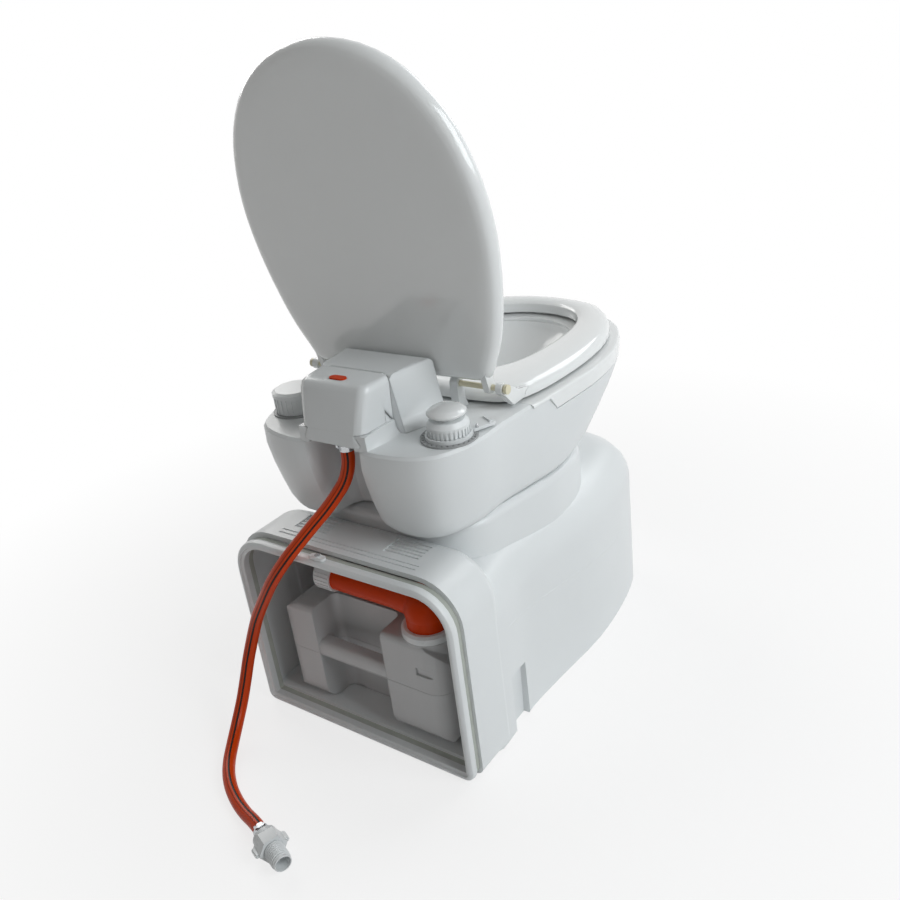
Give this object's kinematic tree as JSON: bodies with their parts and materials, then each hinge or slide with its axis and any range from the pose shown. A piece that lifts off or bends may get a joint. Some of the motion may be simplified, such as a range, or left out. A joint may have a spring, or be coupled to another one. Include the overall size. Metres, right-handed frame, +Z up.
{
  "type": "portable cassette toilet",
  "caption": "Portable toilet with a hinged seat and lid, piston flush pump, slide-out waste tank with a swivelling pour spout, and a water hose with a threaded connector.",
  "frame": {"origin": "on the floor under the middle of the object without its hose: on the centre plane, midway between the lip of the tank mouth and the front of the bowl", "axes": "+Z up, +Y toward the tank mouth and the hose, -Y toward the front of the bowl where the user's knees are, +X to the right of someone who looks along +Y"},
  "size_m": [0.402, 0.881, 0.9218],
  "materials": {
    "white_plastic": "satin",
    "gloss_white": "polished",
    "tank_plastic": "satin",
    "grey_plastic": "satin",
    "orange_plastic": "satin",
    "orange_hose": "satin",
    "gasket_rubber": "matt",
    "dark_rubber": "matt",
    "cream_plastic": "satin",
    "steel": "brushed",
    "brass_stub": "machined"
  },
  "bodies": {
    "unit": {"base_housing": "white_plastic", "base_floor": "white_plastic", "pedestal": "white_plastic", "mouth_collar": "white_plastic", "mouth_frame": "white_plastic", "mouth_gasket": "gasket_rubber", "latch_pin": "steel", "drop_pipe": "grey_plastic", "outlet_seal": "dark_rubber", "hold_down_screws": "steel", "hold_down_nuts": "steel", "upper_housing": "white_plastic", "bowl": "gloss_white", "bowl_rim": "gloss_white", "flush_nozzle": "white_plastic", "flush_pipe": "white_plastic", "service_core": "white_plastic", "inlet_bracket": "white_plastic", "pump_barrel": "white_plastic", "pump_collar": "white_plastic", "slot_ring": "white_plastic", "filler_neck": "white_plastic", "hinge_brackets": "white_plastic", "hinge_rods": "cream_plastic", "rod_caps": "cream_plastic", "hose_spigot": "brass_stub", "spigot_clamp": "steel", "hose": "orange_hose", "connector_clamp": "steel", "hose_connector": "white_plastic", "connector_nut": "white_plastic"},
    "tank": {"waste_tank": "tank_plastic", "inlet_collar": "tank_plastic", "spout_collar": "white_plastic"},
    "blade": {"valve_blade": "grey_plastic"},
    "spout": {"pour_spout": "orange_plastic"},
    "spout_cap": {"spout_cap": "white_plastic", "spout_cap_seal": "dark_rubber"},
    "latch": {"tank_latch": "white_plastic"},
    "lid": {"lid": "gloss_white", "lid_lugs": "gloss_white", "lid_bumpers": "dark_rubber"},
    "seat": {"seat": "gloss_white", "seat_arms": "gloss_white", "seat_bumpers": "dark_rubber"},
    "cover": {"service_cover": "white_plastic"},
    "button": {"cover_button": "orange_plastic"},
    "pump": {"pump_knob": "gloss_white", "pump_piston": "grey_plastic"},
    "filler": {"filler_cap": "white_plastic", "filler_seal": "dark_rubber"},
    "lever": {"valve_lever": "white_plastic", "lever_pin": "steel"}
  },
  "joints": [
    {"name": "tank_slide", "type": "slide", "parent": "unit", "child": "tank", "axis": [0, 1, 0], "range_m": [0, 0.19]},
    {"name": "blade_slide", "type": "slide", "parent": "tank", "child": "blade", "axis": [0, 1, 0], "range_m": [0, 0.098]},
    {"name": "spout_swivel", "type": "hinge", "parent": "tank", "child": "spout", "pos_m": [-0.105, 0.259, 0.209], "axis": [0, 0, 1], "range_deg": [0, 90]},
    {"name": "spout_cap_turn", "type": "hinge", "parent": "spout", "child": "spout_cap", "pos_m": [0.06, 0.259, 0.2303], "axis": [1, 0, 0], "range_deg": [0, 120]},
    {"name": "latch_turn", "type": "hinge", "parent": "unit", "child": "latch", "pos_m": [0.024, 0.313, 0.299], "axis": [0, 0, 1], "range_deg": [0, 90]},
    {"name": "lid_hinge", "type": "hinge", "parent": "unit", "child": "lid", "pos_m": [0, 0.112, 0.486], "axis": [1, 0, 0], "range_deg": [0, 100]},
    {"name": "seat_hinge", "type": "hinge", "parent": "unit", "child": "seat", "pos_m": [0, 0.112, 0.486], "axis": [1, 0, 0], "range_deg": [-93, 0]},
    {"name": "cover_lift", "type": "slide", "parent": "unit", "child": "cover", "axis": [0, 0, 1], "range_m": [0, 0.04]},
    {"name": "button_press", "type": "slide", "parent": "cover", "child": "button", "axis": [0, 0, -1], "range_m": [0, 0.002], "stiffness_N_per_m": 300, "springref_m": -0.002},
    {"name": "pump_lift", "type": "slide", "parent": "unit", "child": "pump", "axis": [0, 0, 1], "range_m": [0, 0.045]},
    {"name": "filler_cap_turn", "type": "hinge", "parent": "unit", "child": "filler", "pos_m": [0.131, 0.195, 0.465], "axis": [0, 0, 1], "range_deg": [0, 90]},
    {"name": "lever_turn", "type": "hinge", "parent": "unit", "child": "lever", "pos_m": [-0.131, 0.195, 0.453], "axis": [0, 0, -1], "range_deg": [0, 70]}
  ],
  "couplings": [
    {"joint": "blade_slide", "follows": "lever_turn", "m_per_rad": 0.0802}
  ]
}
